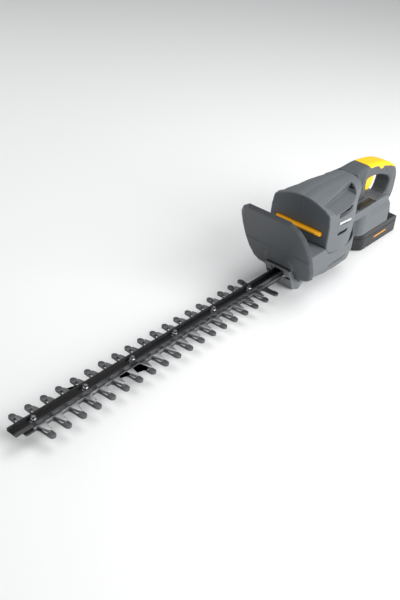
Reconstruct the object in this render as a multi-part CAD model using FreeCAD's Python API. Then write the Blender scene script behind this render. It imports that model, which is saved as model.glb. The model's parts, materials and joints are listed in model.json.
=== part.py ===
"""Battery hedge trimmer, built as an assembly of separate solids, one STEP file for each sub-part.

+X runs forward to the blade tip, +Y to the user's left, +Z up.  The origin is under the middle of
the whole length, on the surface that the battery and the gear case's chin rest on.  Places along X
are given from a station near the middle, and main() moves the finished parts so that the middle of
the whole length is at zero.
"""
import FreeCAD, Part
import math
import os

V = FreeCAD.Vector
UP = V(0, 0, 1)
SIDE = V(0, 1, 0)

# ---------------------------------------------------------------- driving dimensions (mm)
TIP_X = 475.5            # front end of the guide bar
REAR_X = -460.0          # rearmost point of the handle
CENTRE_X = (TIP_X + REAR_X) / 2    # the finished parts are moved back by this much
FIT = 0.3                # gap between neighbouring bodies
WALL = 3.0               # moulded housing wall

TOOTH_PITCH = 27.0
TOOTH_COUNT = 19         # blunt fingers on each side of the comb
FIRST_TOOTH_X = 434.5    # foremost left finger; the right side is half a pitch further forward
TOOTH_REACH = 36.0       # centre line to finger end
PLATE = 2.0              # thickness of the comb, of each blade and of the bar's floor
COMB_Z = 20.0
STRIP_HALF = 9.5         # half width of the comb's middle strip
STROKE = 6.0             # each blade travels this far each way
LOWER_BLADE_Z = COMB_Z + PLATE + FIT
UPPER_BLADE_Z = LOWER_BLADE_Z + PLATE + FIT
BAR_Z = UPPER_BLADE_Z + PLATE + FIT
BAR_HALF = 8.2
BAR_TOP = 35.0
BAR_WALL = 1.8
BAR_REAR_X = -103.0
BOLT_COUNT = 6
BOLT_SPACING = 91.6
FIRST_BOLT_X = 438.5
BOLT_R = 2.5

CRANK_X = -140.0
GEAR_MODULE = 1.1
GEAR_TEETH = 48
PINION_TEETH = 12
MOTOR_X = CRANK_X - GEAR_MODULE * (GEAR_TEETH + PINION_TEETH) / 2
GEAR_Z = 32.0
GEAR_THICK = 7.0
DISC_R = 10.0            # eccentric discs that drive the blades
CASE_HALF = 31.0         # gear case half width under the body
NOSE_HALF = 26.0         # and at its mouth
CASE_TOP = 43.0
COVER_TOP = 47.0

GUARD_LEAN = 27.5        # degrees from upright, top forward
GUARD_FOOT = V(-113.6, 0, 26.0)    # point of the guard's front face on the centre line
GUARD_THICK = 3.6

FACE_X = -142.0          # front face of the cowl
SEAM_X = -281.0          # joint between cowl and rear handle
SHELF_Z = 84.0           # top of the lower housing in front of the cowl
HOUSE_HALF = 60.5
GRIP_HALF = 16.0
NECK_HALF = 34.0
DOCK_TOP = 96.5
DOCK_BOTTOM = 37.0
DOCK_HALF = 37.5
PACK_HALF = 37.0
PACK_FRONT = -303.0
PACK_REAR = -457.0
MOTOR_R = 18.0
MOTOR_Z = (52.0, 118.0)
PACK_TOP = 36.4
FIRST_CELL_X = -333.0
CELL_PITCH = 22.0
CONTACT_Y = (-13.0, 0.0, 13.0)
BAR_LOW = 102.5          # front switch bar
BAR_HIGH = 109.5
TRIGGER_PIN = (-333.0, 139.0)
HOUSING_SCREWS = [(-204.0, 36.0), (-204.0, -36.0), (-150.0, 42.0), (-150.0, -42.0)]
HANDLE_SCREWS = [(-296.0, 146.0), (-300.0, 108.0), (-399.0, 136.0), (-443.0, 104.0), (-436.0, 70.0)]

PARTS = {}


# ---------------------------------------------------------------- helpers
def on_xz(a, b):
    return V(a, 0, b)


def on_xy(a, b):
    return V(a, b, 0)


def on_yz(a, b):
    return V(0, a, b)


def outline(points, place):
    """Closed wire through (a, b) corners; a third number rounds that corner with its radius."""
    count = len(points)
    starts, ends, mids = [], [], []
    for i, corner in enumerate(points):
        here = place(corner[0], corner[1])
        radius = corner[2] if len(corner) > 2 else 0
        if not radius:
            starts.append(here)
            ends.append(here)
            mids.append(None)
            continue
        before = (place(*points[i - 1][:2]) - here).normalize()
        after = (place(*points[(i + 1) % count][:2]) - here).normalize()
        half = before.getAngle(after) / 2
        reach = radius / math.tan(half)
        middle = (before + after).normalize()
        starts.append(here + before * reach)
        ends.append(here + after * reach)
        mids.append(here + middle * (radius / math.sin(half) - radius))
    edges = []
    for i in range(count):
        if mids[i] is not None:
            edges.append(Part.Arc(starts[i], mids[i], ends[i]).toShape())
        following = starts[(i + 1) % count]
        if ends[i].distanceToPoint(following) > 1e-6:
            edges.append(Part.LineSegment(ends[i], following).toShape())
    return Part.Wire(edges)


def slab_y(points, y0, y1):
    face = Part.Face(outline(points, on_xz))
    face.translate(V(0, y0, 0))
    return face.extrude(V(0, y1 - y0, 0))


def slab_z(points, z0, z1):
    face = Part.Face(outline(points, on_xy))
    face.translate(V(0, 0, z0))
    return face.extrude(V(0, 0, z1 - z0))


def slab_x(points, x0, x1):
    face = Part.Face(outline(points, on_yz))
    face.translate(V(x0, 0, 0))
    return face.extrude(V(x1 - x0, 0, 0))


def box(x0, x1, y0, y1, z0, z1):
    return Part.makeBox(x1 - x0, y1 - y0, z1 - z0, V(x0, y0, z0))


def rod(radius, start, end):
    return Part.makeCylinder(radius, start.distanceToPoint(end), start, end - start)


def post(radius, x, y, z0, z1):
    return rod(radius, V(x, y, z0), V(x, y, z1))


def ring(outer, inner, x, y, z0, z1):
    return post(outer, x, y, z0, z1).cut(post(inner, x, y, z0 - 1, z1 + 1))


def tube_pin(radius, x, z, y0, y1):
    return rod(radius, V(x, y0, z), V(x, y1, z))


def hexagon(across_flats, x, y, z0, z1):
    corner = across_flats / math.sqrt(3)
    points = []
    for i in range(6):
        turn = math.radians(60 * i)
        points.append((x + corner * math.cos(turn), y + corner * math.sin(turn)))
    return slab_z(points, z0, z1)


def both_sides(points):
    """Adds the mirror image of a half outline of (a, b) corners, b on the + side, in reverse order."""
    return points + [(p[0], -p[1], *p[2:]) for p in reversed(points)]


def both_widths(points):
    """The same for a half outline of (y, z) corners."""
    return points + [(-p[0], *p[1:]) for p in reversed(points)]


def mirrored(shape):
    return shape.mirror(V(0, 0, 0), SIDE)


def fuse(shapes):
    whole = shapes[0]
    if len(shapes) > 1:
        whole = whole.multiFuse(shapes[1:])
    return whole.removeSplitter()


def cut(shape, tools):
    for tool in tools:
        shape = shape.cut(tool)
    return shape


def rounded(shape, radius, wanted):
    """Fillets the edges whose middle point passes the test."""
    edges = []
    for edge in shape.Edges:
        middle = edge.valueAt((edge.FirstParameter + edge.LastParameter) / 2)
        if wanted(middle, edge):
            edges.append(edge)
    return shape.makeFillet(radius, edges)


def side_half(shape, side):
    """The half of a centred shell on one side of the centre seam: +1 left, -1 right."""
    keep = box(-600, 600, 0, 200, -50, 300) if side > 0 else box(-600, 600, -200, 0, -50, 300)
    return shape.common(keep)


def add(name, shape):
    solids = shape.Solids
    if not solids or not shape.isValid():
        raise ValueError(name + " has no valid solid")
    PARTS[name] = solids[0] if len(solids) == 1 else Part.makeCompound(solids)


# ---------------------------------------------------------------- cutting gear
def tooth_places(side):
    start = FIRST_TOOTH_X if side > 0 else FIRST_TOOTH_X + TOOTH_PITCH / 2
    return [start - TOOTH_PITCH * i for i in range(TOOTH_COUNT)]


def comb_finger(x, side, plain):
    """Blunt finger with a rounded end, a long slot and a thicker end pad."""
    width = 5.0
    pad_start = 25.5
    tip = TOOTH_REACH - width
    body = slab_z([(x + 8, 8), (x + width + 0.6, 14), (x + width, tip), (x - width, tip),
                   (x - width - 0.6, 14), (x - 8, 8)], COMB_Z, COMB_Z + PLATE)
    end = post(width, x, tip, COMB_Z, COMB_Z + PLATE)
    pad = slab_z([(x + width, pad_start), (x + width, tip), (x - width, tip), (x - width, pad_start)],
                 COMB_Z, COMB_Z + PLATE + 1.5)
    pad_end = post(width, x, tip, COMB_Z, COMB_Z + PLATE + 1.5)
    finger = fuse([body, end, pad, pad_end])
    if not plain:
        slot = slab_z([(x + 3, 13, 2.5), (x + 3, 24, 2.5), (x - 3, 24, 2.5), (x - 3, 13, 2.5)],
                      COMB_Z - 1, COMB_Z + PLATE + 1)
        finger = finger.cut(slot)
    return finger if side > 0 else mirrored(finger)


def bolt_places():
    return [FIRST_BOLT_X - BOLT_SPACING * i for i in range(BOLT_COUNT)]


def make_comb():
    pieces = [slab_z([(TIP_X - 17, STRIP_HALF, 3), (BAR_REAR_X + 6, STRIP_HALF),
                      (BAR_REAR_X + 6, -STRIP_HALF), (TIP_X - 17, -STRIP_HALF, 3)],
                     COMB_Z, COMB_Z + PLATE)]
    for side in (1, -1):
        for i, x in enumerate(tooth_places(side)):
            pieces.append(comb_finger(x, side, plain=(i == TOOTH_COUNT - 1)))
    holes = [post(BOLT_R + 0.1, x, 0, COMB_Z - 1, COMB_Z + PLATE + 1) for x in bolt_places()]
    add("tooth_comb", cut(fuse(pieces), holes))


def make_blade(name, z):
    """Toothed strip with a wide tail whose window takes an eccentric disc of the crank."""
    root, tip = 6.5, 2.2
    window_x = DISC_R + 2 * STROKE + 0.5
    window_y = DISC_R + STROKE + 0.5
    strip = slab_z([(TIP_X - 30, STRIP_HALF - 0.7, 3), (BAR_REAR_X, STRIP_HALF - 0.7, 6),
                    (BAR_REAR_X - 9, 21, 3), (CRANK_X - window_x - 5, 21, 4),
                    (CRANK_X - window_x - 5, -21, 4), (BAR_REAR_X - 9, -21, 3),
                    (BAR_REAR_X, 0.7 - STRIP_HALF, 6), (TIP_X - 30, 0.7 - STRIP_HALF, 3)],
                   z, z + PLATE)
    pieces = [strip]
    for side in (1, -1):
        for place in tooth_places(side)[:-1]:
            x = place - 1.8
            points = [(x + root, 8 * side), (x + tip, 25 * side, 0.8), (x - tip, 25 * side, 0.8),
                      (x - root, 8 * side)]
            pieces.append(slab_z(points, z, z + PLATE))
    tools = [slab_z([(CRANK_X + window_x, window_y, 3), (CRANK_X + window_x, -window_y, 3),
                     (CRANK_X - window_x, -window_y, 3), (CRANK_X - window_x, window_y, 3)],
                    z - 1, z + PLATE + 1)]
    reach = STROKE + BOLT_R + 0.6
    side_gap = BOLT_R + 0.4
    for x in bolt_places():
        tools.append(slab_z([(x + reach, side_gap, side_gap - 0.1), (x + reach, -side_gap, side_gap - 0.1),
                             (x - reach, -side_gap, side_gap - 0.1), (x - reach, side_gap, side_gap - 0.1)],
                            z - 1, z + PLATE + 1))
    add(name, cut(fuse(pieces), tools))


def make_bar():
    """U channel, open upward, with a flat tail screwed into the gear case."""
    channel = slab_x([(-BAR_HALF, BAR_Z, 1.2), (BAR_HALF, BAR_Z, 1.2), (BAR_HALF, BAR_TOP),
                      (BAR_HALF - BAR_WALL, BAR_TOP), (BAR_HALF - BAR_WALL, BAR_Z + PLATE),
                      (BAR_WALL - BAR_HALF, BAR_Z + PLATE), (BAR_WALL - BAR_HALF, BAR_TOP),
                      (-BAR_HALF, BAR_TOP)], BAR_REAR_X, TIP_X)
    corner = slab_y([(TIP_X - 4, BAR_Z - 1), (TIP_X + 1, BAR_Z - 1), (TIP_X + 1, BAR_Z + 3.5)], -20, 20)
    holes = [post(BOLT_R + 0.1, x, 0, BAR_Z - 1, BAR_Z + PLATE + 1) for x in bolt_places()]
    add("guide_bar", cut(channel, holes + [corner]))


def make_blade_bolts():
    bolts, nuts = [], []
    floor = BAR_Z + PLATE
    for x in bolt_places():
        shank = post(BOLT_R, x, 0, COMB_Z - 1, floor + 7.6)
        head = rounded(post(4.4, x, 0, COMB_Z - 2.4, COMB_Z), 1.2, lambda p, e: p.z < COMB_Z - 2)
        bolts.append(shank.fuse(head).removeSplitter())
        body = hexagon(9.0, x, 0, floor, floor + 5.0)
        collar = post(4.0, x, 0, floor + 5.0, floor + 6.4)
        nuts.append(body.fuse(collar).cut(post(BOLT_R, x, 0, floor - 1, floor + 8)))
    add("blade_bolts", Part.makeCompound(bolts))
    add("blade_nuts", Part.makeCompound(nuts))


# ---------------------------------------------------------------- gear train
def involute(base_r, radius):
    """Polar angle of the involute of a base circle at a radius."""
    pressure = math.acos(base_r / radius)
    return math.tan(pressure) - pressure


def gear_outline(teeth, addendum, dedendum, thin, phase):
    """Involute teeth, each thinner than nominal by `thin` degrees on both flanks."""
    pitch_r = GEAR_MODULE * teeth / 2
    base_r = pitch_r * math.cos(math.radians(20))
    tip_r = pitch_r + addendum
    root_r = pitch_r - dedendum
    half = math.pi / (2 * teeth) + involute(base_r, pitch_r) - math.radians(thin)
    start_r = max(base_r, root_r)
    flank = [start_r + (tip_r - start_r) * i / 3 for i in range(4)]
    points = []
    for i in range(teeth):
        middle = math.radians(phase) + 2 * math.pi * i / teeth
        rising = [(r, middle - half + involute(base_r, r)) for r in flank]
        falling = [(r, middle + half - involute(base_r, r)) for r in reversed(flank)]
        if root_r < start_r:
            rising = [(root_r, middle - half)] + rising
            falling = falling + [(root_r, middle + half)]
        points += [(r * math.cos(a), r * math.sin(a)) for r, a in rising + falling]
    return points


def toothed_wheel(teeth, x, z0, z1, addendum, dedendum, thin, phase):
    points = gear_outline(teeth, addendum, dedendum, thin, phase)
    return slab_z([(x + a, b) for a, b in points], z0, z1)


def make_gears():
    gear_top = GEAR_Z + GEAR_THICK
    wheel = toothed_wheel(GEAR_TEETH, CRANK_X, GEAR_Z, gear_top, 0.85, 1.35, 0.35, 0)
    recess = ring(22.5, 9.5, CRANK_X, 0, gear_top - 2, gear_top + 1)
    tools = [recess, post(5.0, CRANK_X, 0, GEAR_Z - 1, gear_top + 1)]
    for i in range(6):
        turn = math.radians(60 * i)
        tools.append(post(3.2, CRANK_X + 16 * math.cos(turn), 16 * math.sin(turn), GEAR_Z - 1, gear_top))
    add("drive_gear", cut(wheel, tools))
    half_step = 180.0 / PINION_TEETH
    pinion = toothed_wheel(PINION_TEETH, MOTOR_X, GEAR_Z - 1, gear_top + 1, 0.95, 1.3, 1.6, half_step)
    add("pinion", pinion.cut(post(2.5, MOTOR_X, 0, GEAR_Z - 2, gear_top + 2)))


def make_crank():
    """Upright shaft with two eccentric discs half a turn apart, one in each blade's window."""
    shaft = fuse([post(5.0, CRANK_X, 0, 15.2, CASE_TOP - 0.2), post(4.0, CRANK_X, 0, 14.2, 15.4),
                  post(4.0, CRANK_X, 0, CASE_TOP - 0.5, CASE_TOP + 3.4)])
    add("crankshaft", shaft)
    discs = (("upper_eccentric", UPPER_BLADE_Z, STROKE), ("lower_eccentric", LOWER_BLADE_Z, -STROKE))
    for name, z, offset in discs:
        collar_top = GEAR_Z if offset > 0 else z + PLATE
        disc = post(DISC_R, CRANK_X, offset, z, z + PLATE)
        if offset > 0:
            disc = fuse([disc, post(7.5, CRANK_X, 0, z + PLATE, collar_top)])
        add(name, disc.cut(post(5.0, CRANK_X, 0, z - 1, collar_top + 1)))


def make_crank_bearings():
    lower = ring(8.5, 5.04, CRANK_X, 0, 15.4, 20.4)
    upper = ring(8.5, 4.04, CRANK_X, 0, CASE_TOP + 0.2, COVER_TOP - 0.4)
    add("lower_crank_bearing", lower)
    add("upper_crank_bearing", upper)


CHIN = [(-95.0, 42.0), (-113.5, 0.0, 1.5), (-125.0, 0.0, 5), (-139.0, 11.5, 6), (-188.0, 12.5, 4), (-188.0, CASE_TOP),
        (-95.4, CASE_TOP)]


def make_gearcase():
    """Nose casting: leaning mouth that the bar leaves by, a chin to stand on, and the gear chamber."""
    body = slab_y(CHIN, -CASE_HALF, CASE_HALF)
    plan = slab_z(both_sides([(-90, NOSE_HALF), (-116, NOSE_HALF, 4), (-124, CASE_HALF, 4),
                              (-188, CASE_HALF, 4)]), -5, 60)
    body = body.common(plan)
    blade_room = [
        slab_z(both_sides([(-115, 15), (-114, 24, 3), (-179, 24, 3)]), 20.6, GEAR_Z - 0.8),
        slab_z(both_sides([(-112.0, 24.0, 4), (-122, 28.4, 6), (-185.5, 28.4, 6)]), GEAR_Z - 1.4, CASE_TOP + 1),
        post(8.5, CRANK_X, 0, 15.4, 21),
        post(6.0, CRANK_X, 0, 13.6, 16),
    ]
    mouth = box(-116, -80, -BAR_HALF - 0.05, BAR_HALF + 0.05, BAR_Z - 0.05, BAR_TOP + 0.05)
    slit = box(-118, -80, -STRIP_HALF - 2.0, STRIP_HALF + 2.0, COMB_Z - 0.05, BAR_Z + 0.2)
    neck = slab_z(both_sides([(-89, 12.5), (-94.5, 12.5), (-102.5, 24), (-120, 24)]), LOWER_BLADE_Z - 0.6, BAR_Z + 0.2)
    relief = slab_y([(-80, 44), (-99, 38.6), (-106.5, 20), (-106.5, 17.5), (-80, 17.5)], -12.8, 12.8)
    chin_hollow = slab_y([(-112, 14), (-116.5, 4), (-123.5, 4), (-131, 10), (-131, 14)], -20, 20)
    screw_holes = [post(1.5, x, y, 30, CASE_TOP + 1) for x, y in gearcase_screw_places()]
    body = cut(body, blade_room + [mouth, slit, neck, relief, chin_hollow])
    body = fuse([body] + gearcase_bosses())
    add("gearcase", cut(body, screw_holes))


def gearcase_screw_places():
    return [(-184.0, 27.0), (-184.0, -27.0), (-112.5, 21.8), (-112.5, -21.8)]


def gearcase_bosses():
    outline_limit = slab_z(both_sides([(-90, NOSE_HALF), (-116, NOSE_HALF, 4), (-124, CASE_HALF, 4),
                                       (-188, CASE_HALF, 4)]), -5, 60)
    bosses = []
    for x, y in gearcase_screw_places():
        bosses.append(post(4.0, x, y, BAR_Z + 1, CASE_TOP).common(outline_limit))
    return bosses


def make_gearcase_cover():
    plate = slab_z(both_sides([(-109.3, NOSE_HALF - 2, 1), (-116, NOSE_HALF - 2, 4), (-124, CASE_HALF, 4),
                               (-207, CASE_HALF, 8)]), CASE_TOP + 0.05, COVER_TOP)
    boss = post(11.5, CRANK_X, 0, COVER_TOP, COVER_TOP + 2)
    tools = [post(8.5, CRANK_X, 0, CASE_TOP - 1, COVER_TOP - 0.4), post(9.0, MOTOR_X, 0, CASE_TOP - 1, COVER_TOP + 1)]
    tools += [post(1.7, x, y, CASE_TOP - 1, COVER_TOP + 1) for x, y in gearcase_screw_places()]
    add("gearcase_cover", cut(fuse([plate, boss]), tools))
    screws = []
    for x, y in gearcase_screw_places():
        shank = post(1.45, x, y, 33, COVER_TOP)
        head = post(3.0, x, y, COVER_TOP, COVER_TOP + 2.2)
        drive = hexagon(2.6, x, y, COVER_TOP + 1.0, COVER_TOP + 3)
        screws.append(shank.fuse(head).cut(drive))
    add("gearcase_screws", Part.makeCompound(screws))


# ---------------------------------------------------------------- motor
def make_motor():
    low, high = MOTOR_Z
    can = cut(post(MOTOR_R, MOTOR_X, 0, low, high), [post(MOTOR_R - 1.6, MOTOR_X, 0, low + 2, high + 1),
                                                     post(5.0, MOTOR_X, 0, low - 1, low + 3)])
    vents = []
    for i in range(8):
        turn = math.radians(45 * i)
        vents.append(post(2.4, MOTOR_X + 11 * math.cos(turn), 11 * math.sin(turn), low - 1, low + 3))
    add("motor_can", cut(can, vents))
    magnets = []
    for turn in (0, 180):
        arc = ring(MOTOR_R - 1.8, MOTOR_R - 5.0, MOTOR_X, 0, low + 8, high - 18)
        keep = box(MOTOR_X - 40, MOTOR_X + 40, 4, 40, low, high)
        piece = arc.common(keep)
        piece.rotate(V(MOTOR_X, 0, 0), UP, turn)
        magnets.append(piece)
    add("motor_magnets", Part.makeCompound(magnets))
    bell = cut(post(MOTOR_R - 1.9, MOTOR_X, 0, high - 6, high + 1.5), [post(8.0, MOTOR_X, 0, high - 5, high + 3),
                                                                    post(3.2, MOTOR_X, 0, high - 7, high + 3)])
    add("motor_end_bell", bell)
    add("motor_front_bearing", ring(4.9, 2.54, MOTOR_X, 0, low - 0.5, low + 4.5))
    add("motor_rear_bearing", ring(7.9, 2.54, MOTOR_X, 0, high - 4.8, high))
    add("motor_shaft", post(2.5, MOTOR_X, 0, GEAR_Z - 3, high + 16))
    core = ring(12.2, 2.5, MOTOR_X, 0, low + 10, high - 20)
    slots = []
    for i in range(6):
        turn = math.radians(60 * i)
        slot = box(MOTOR_X + 6, MOTOR_X + 14, -1.2, 1.2, low, high)
        slot.rotate(V(MOTOR_X, 0, 0), UP, math.degrees(turn))
        slots.append(slot)
    add("armature", cut(core, slots))
    add("commutator", ring(6.0, 2.5, MOTOR_X, 0, high - 18, high - 8))
    brushes = []
    for side in (1, -1):
        brushes.append(box(MOTOR_X - 2.5, MOTOR_X + 2.5, *sorted((6.4 * side, 15 * side)), high - 15.5, high - 10))
    add("carbon_brushes", Part.makeCompound(brushes))
    hub = ring(5.0, 2.5, MOTOR_X, 0, high + 4, high + 14)
    disc = ring(17.0, 4.9, MOTOR_X, 0, high + 4, high + 5.6)
    vanes = []
    for i in range(9):
        vane = box(MOTOR_X + 4.6, MOTOR_X + 16.8, -0.8, 0.8, high + 5, high + 13)
        vane.rotate(V(MOTOR_X, 0, 0), UP, 40 * i)
        vanes.append(vane)
    add("cooling_fan", fuse([hub, disc] + vanes))


# ---------------------------------------------------------------- hand guard
LEAN = math.radians(GUARD_LEAN)
# the guard's own frame: x across, y up the face, z out of the face
GUARD_PLACE = FreeCAD.Placement(FreeCAD.Matrix(0, math.sin(LEAN), math.cos(LEAN), GUARD_FOOT.x,
                                               1, 0, 0, 0,
                                               0, math.cos(LEAN), -math.sin(LEAN), GUARD_FOOT.z,
                                               0, 0, 0, 1))
RIM_DEPTH = 5.5
RIDGE = 62.0             # height of the crease across the face, measured up the face
# half outlines of the shield, (across, up the face): the flat face's edge and the rim's outer edge
GUARD_FACE = [(40.5, 143), (53, 132), (60.3, 115), (64, 90), (65.4, RIDGE), (63.8, 33), (58, 11),
              (50, 2), (36, -1), (33.5, -11)]
GUARD_RIM = [(42, 149.5), (56, 138), (65.2, 120), (69, 92), (69.2, RIDGE), (66.8, 32), (60.8, 9.5),
             (52.5, -1), (37.5, -4), (35, -13)]
MOUTH_TOP = 43.4         # top of the guard's cut-out for the nose
GUARD_SCREWS = [(42.0, 22.0), (-42.0, 22.0), (42.0, 48.0), (-42.0, 48.0)]


def in_guard(shape):
    shape.Placement = GUARD_PLACE
    return shape


def guard_section(half, depth, inset=0.0):
    """Closed outline of the shield at a depth behind its face, pulled in by a wall's thickness."""
    corners = [V(a, b, -depth) for a, b in half] + [V(-a, b, -depth) for a, b in reversed(half)]
    wire = Part.makePolygon(corners + [corners[0]])
    if not inset:
        return wire
    return wire.makeOffset2D(-inset, 2)


def guard_face_x(z):
    return GUARD_FOOT.x + (z - GUARD_FOOT.z) * math.tan(LEAN)


def make_guard():
    """Shield with a bevelled rim bent back, a creased face and a low brow over the gear case's nose."""
    skin = Part.makeLoft([guard_section(GUARD_FACE, 0), guard_section(GUARD_RIM, RIM_DEPTH)], True, True)
    hollow = Part.makeLoft([guard_section(GUARD_FACE, GUARD_THICK, 2.2),
                            guard_section(GUARD_RIM, GUARD_THICK + RIM_DEPTH, 2.2)], True, True)
    below = [(65.2, RIDGE)] + GUARD_FACE[5:]
    above = [(63.8, RIDGE - 1.8), (62.0, 33), (56.5, 12), (49, 3.5), (35, 0.5), (32.5, -9.5)]
    band = Part.makeLoft([guard_section(below, 0.6), guard_section(above, -1.4)], True, True)
    bosses = [rod(5.0, V(a, b, -RIM_DEPTH), V(a, b, -1)) for a, b in GUARD_SCREWS]
    shield = in_guard(fuse([skin.cut(hollow), band] + bosses))
    brow = slab_y([(-86.2, 79.0), (-88.4, 79.0), (-107.0, MOUTH_TOP), (-98.5, MOUTH_TOP, 1.5), (-91.5, 60.0, 14)],
                  -32, 32)
    brow = brow.common(slab_z(both_sides([(-84, 12), (-88, 19, 8), (-95, 28.5, 8), (-110, 31)]), 30, 130))
    shield = fuse([shield, brow])
    mouth = box(-150, -80, -NOSE_HALF - 0.4, NOSE_HALF + 0.4, -5, MOUTH_TOP)
    chin_gap = box(-150, -115.4, -CASE_HALF - 0.4, CASE_HALF + 0.4, -5, MOUTH_TOP)
    shadow_slot = box(-106.2, -80, -23, 23, MOUTH_TOP - 1, MOUTH_TOP + 3.4)
    pilot = [in_guard(rod(1.6, V(a, b, -RIM_DEPTH - 1), V(a, b, -2.0))) for a, b in GUARD_SCREWS]
    add("hand_guard", cut(shield, [mouth, chin_gap, shadow_slot] + pilot))
    screws = []
    for a, b in GUARD_SCREWS:
        back = -RIM_DEPTH - FIT - WALL
        shank = rod(1.55, V(a, b, back), V(a, b, -2.6))
        head = rod(3.5, V(a, b, back - 2.2), V(a, b, back))
        screws.append(in_guard(shank.fuse(head).removeSplitter()))
    add("guard_screws", Part.makeCompound(screws))


# ---------------------------------------------------------------- lower housing
def front_point(z, inset):
    """Point of the housing's leaning front wall, which lies flat against the guard's back."""
    return (guard_face_x(z) - (RIM_DEPTH + FIT + inset) / math.cos(LEAN), z)


# the cowl's lower edge, seen from the side
SKIRT = [(FACE_X, SHELF_Z + FIT), (-152, 71.5, 14), (-192, 66.5, 60), (-222, 69.5, 25), (-252, 97)]


def housing_profile(inset):
    """Side outline; an inset of one wall gives the hollow, which is open under the cowl."""
    skirt = [(p[0], p[1] - FIT, *p[2:]) for p in SKIRT]
    if inset:
        top = [(FACE_X, SHELF_Z - inset), (FACE_X, 120), (-249, 120)]
    else:
        top = skirt
    front = [front_point(32.0 + inset, inset), front_point(SHELF_Z - inset, inset)]
    rear = [(-252 + inset, 43), (-240, 22.5 + inset, 7), (-200, 21.5 + inset), (-165, 23 + inset)]
    return front + top + rear


def make_lower_housing():
    """Tub under the cowl: side walls pinched in towards the base, vent slots, hole for the gear case."""
    def block(inset):
        side = slab_y(housing_profile(inset), -80, 80)
        half = HOUSE_HALF - inset
        section = slab_x(both_widths([(half - 9.5, 20), (half - 9.5, 32), (half - 3, 46, 8), (half, 52, 6),
                                      (half, 122)]), -300, 0)
        plan = slab_z(both_sides([(-60, half), (-232 + inset, half, 16), (-253 + inset, half - 16, 10)]), 0, 130)
        return side.common(section).common(plan)
    tub = block(0).cut(block(WALL))
    case_gap = slab_z(both_sides([(-60, NOSE_HALF + 0.4), (-115, NOSE_HALF + 0.4), (-123, CASE_HALF + 0.4),
                                  (-189, CASE_HALF + 0.4)]), -5, CASE_TOP + 0.3)
    cover_gap = box(-125, -100, -NOSE_HALF - 0.4, NOSE_HALF + 0.4, CASE_TOP, COVER_TOP + 2.6)
    tools = [case_gap, cover_gap]
    for i in range(5):
        x = -183.0 - 9.5 * i
        slot = slab_y([(x, 30), (x + 4, 30), (x - 2.5, 42.5), (x - 6.5, 42.5)], 30, 80)
        tools += [slot, mirrored(slot)]
    tools += [in_guard(rod(1.65, V(a, b, -14), V(a, b, 0))) for a, b in GUARD_SCREWS]
    posts = []
    for x, y in HOUSING_SCREWS:
        posts.append(post(4.2, x, y, 24, 66).cut(post(1.5, x, y, 10, 80)))
        tools.append(post(1.5, x, y, 10, 80))
        tools.append(post(3.4, x, y, 10, 30))
    tub = fuse([tub] + posts)
    add("lower_housing", cut(tub, tools))
    screws = []
    for x, y in HOUSING_SCREWS:
        screws.append(post(1.45, x, y, 30, 76).fuse(post(3.1, x, y, 27.6, 30)).removeSplitter())
    add("housing_screws", Part.makeCompound(screws))


# ---------------------------------------------------------------- cowl
# cross-sections of the cowl: x, then half outline (across, height) from the crown down
COWL_SECTIONS = [
    (FACE_X, [(12, 160.0), (27, 156.5), (46, 149), (56.5, 142), (59.5, 121), (60, 60)]),
    (-168, [(12, 162.6), (28, 159), (46, 152), (57, 144.5), (61, 122), (61.5, 60)]),
    (-205, [(12, 164.0), (26, 161), (42, 154), (52.5, 146), (61, 122), (61.5, 60)]),
    (-245, [(11, 162.6), (22, 160), (34, 153.5), (41, 145), (48, 120), (48, 60)]),
    (SEAM_X, [(10, 160.2), (18, 158.8), (27, 155), (33.5, 147), (31, 122), (27, 60)]),
]


def cowl_block(inset):
    wires = []
    for i, (x, half) in enumerate(COWL_SECTIONS):
        if inset and i == 0:
            x = x - inset
        corners = [V(x, a, b) for a, b in half] + [V(x, -a, b) for a, b in reversed(half)]
        wire = Part.makePolygon(corners + [corners[0]])
        if inset:
            wire = wire.makeOffset2D(-inset, 2)
        wires.append(wire)
    return Part.makeLoft(wires, True, False)


COWL_SLOTS = [(-169, -219, 131.5, 5.5), (-169, -200, 99.5, 4.5)]    # front, rear, bottom, height
BADGE_FLOOR = 58.9       # across, depth of the shallow seat for a badge


def pocket():
    """Scoop under the front hood for the thumb and palm, left side; its floor falls outward and to the rear."""
    def section(x, lip, root, floor):
        return Part.makePolygon([V(x, lip, 165), V(x, root, floor + 7), V(x, 62, floor), V(x, 62, 165),
                                 V(x, lip, 165)])
    wedge = Part.makeLoft([section(-145, 43, 36, 139), section(-205, 33, 27, 138), section(-268, 19, 16, 133)],
                          True, True)
    front = slab_z([(-150, 0), (-150, 39, 5), (-161, 64), (-161, 100), (-280, 100), (-280, 0)], 100, 200)
    rear = slab_y([(-100, 110), (-100, 190), (-268, 190), (-250, 134), (-250, 110)], -10, 110)
    return wedge.common(front).common(rear)


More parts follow.
